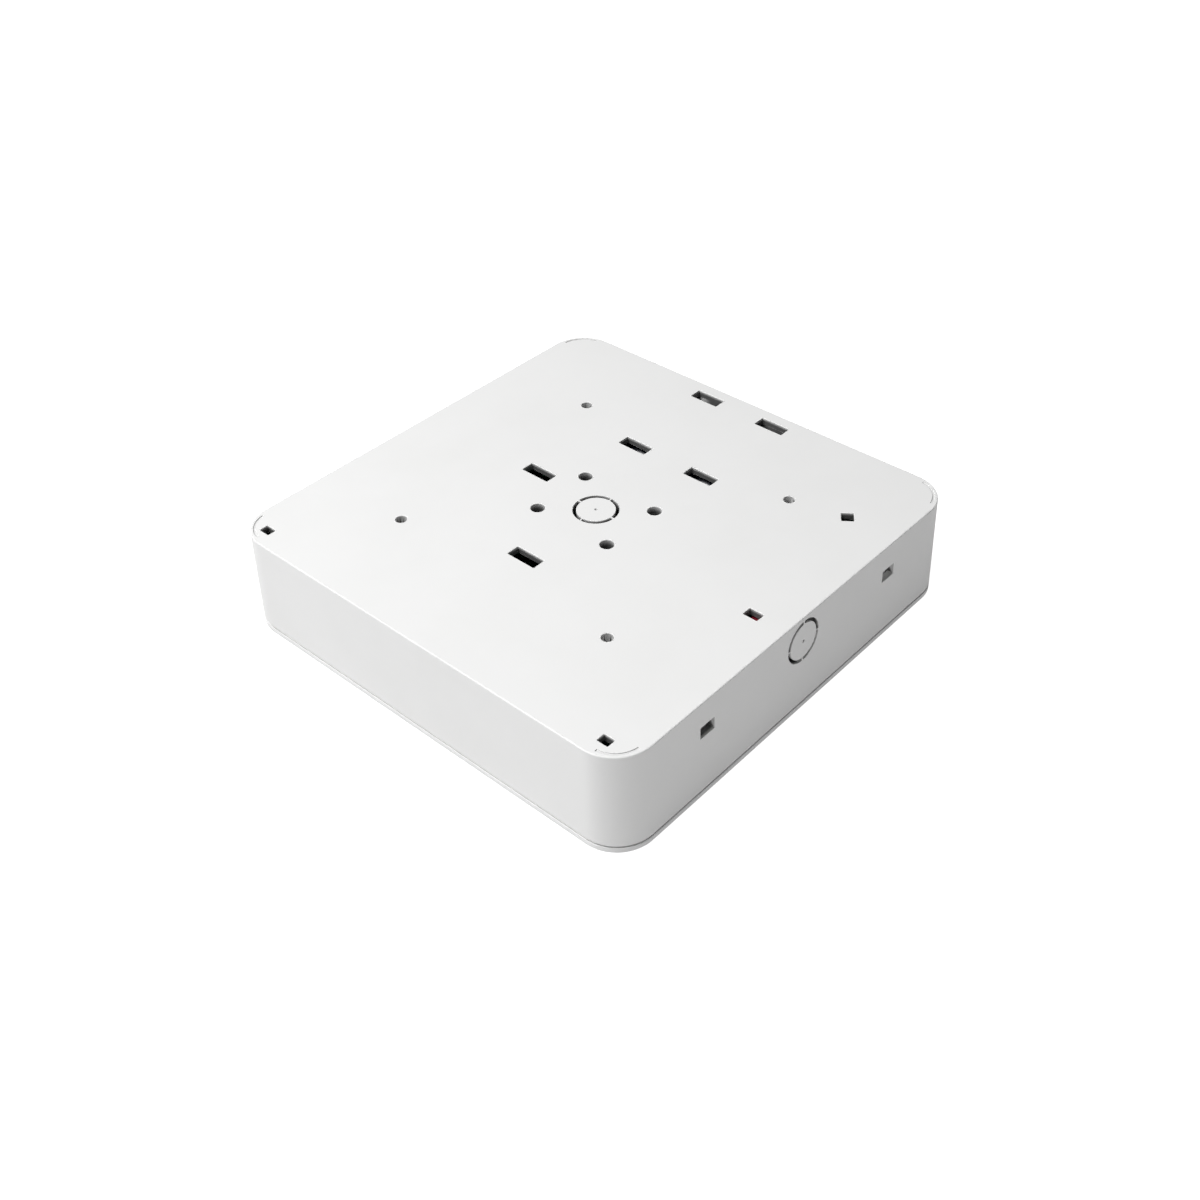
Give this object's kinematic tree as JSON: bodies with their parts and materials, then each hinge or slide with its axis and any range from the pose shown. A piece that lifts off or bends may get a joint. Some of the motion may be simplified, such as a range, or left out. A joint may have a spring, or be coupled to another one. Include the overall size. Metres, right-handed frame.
{
  "type": "smart home hub",
  "caption": "Flat square wall-mounted smart home hub: deep rear housing with knockouts and fixing holes, thin front cover, circuit board, battery and switches inside.",
  "frame": {"origin": "middle of the front cover's flat face, which the hub lies on, face down", "axes": "+Z out of the wall side, where the fixing holes are; -Y towards the side with the cable knockout and the snap windows; X along that side"},
  "size_m": [0.163, 0.163, 0.036],
  "materials": {
    "shell_white": "fine moulded texture",
    "clear_plastic": "clear moulded",
    "board_green": "solder mask",
    "screw_steel": "zinc plated",
    "tinned_metal": "tinned",
    "antenna_brass": "plated strip",
    "ivory_plastic": "moulded",
    "black_plastic": "moulded",
    "tamper_red": "moulded",
    "battery_wrap": "heat-shrunk film",
    "lead_red": "silicone",
    "lead_black": "silicone",
    "terminal_green": "moulded",
    "varistor_blue": "dipped lacquer",
    "capacitor_sleeve": "shrunk sleeve"
  },
  "bodies": {
    "cover": {"front_cover": "shell_white", "light_guide": "clear_plastic"},
    "housing": {"rear_housing": "shell_white", "main_board": "board_green", "board_screw_1": "screw_steel", "board_screw_2": "screw_steel", "board_screw_3": "screw_steel", "board_screw_4": "screw_steel", "ethernet_jack": "tinned_metal", "shield_can": "tinned_metal", "modem_module": "tinned_metal", "sim_holder": "tinned_metal", "antenna_1": "antenna_brass", "antenna_2": "antenna_brass", "status_led": "ivory_plastic", "buzzer": "black_plastic", "coin_cell": "screw_steel", "coin_cell_holder": "black_plastic", "service_header": "black_plastic", "tamper_switch": "black_plastic", "power_switch": "tinned_metal", "battery_pack": "battery_wrap", "battery_lead_red": "lead_red", "battery_lead_black": "lead_black", "battery_plug": "ivory_plastic", "battery_socket": "ivory_plastic", "power_terminal": "terminal_green", "terminal_screw_1": "screw_steel", "terminal_screw_2": "screw_steel", "power_module": "black_plastic", "fuse": "black_plastic", "varistor": "varistor_blue", "filter_capacitor_1": "capacitor_sleeve", "filter_capacitor_2": "capacitor_sleeve"},
    "tamper_plunger": {"tamper_plunger": "tamper_red"},
    "power_button": {"power_button": "black_plastic"}
  },
  "joints": [
    {"name": "housing_lift", "type": "slide", "parent": "cover", "child": "housing", "axis": [0, 0, 1], "range_m": [0, 0.045]},
    {"name": "tamper_press", "type": "slide", "parent": "housing", "child": "tamper_plunger", "axis": [0, 0, -1], "range_m": [0, 0.0015], "stiffness_N_per_m": 300},
    {"name": "power_press", "type": "slide", "parent": "housing", "child": "power_button", "axis": [0, 0, 1], "range_m": [0, 0.0005], "stiffness_N_per_m": 1500}
  ]
}
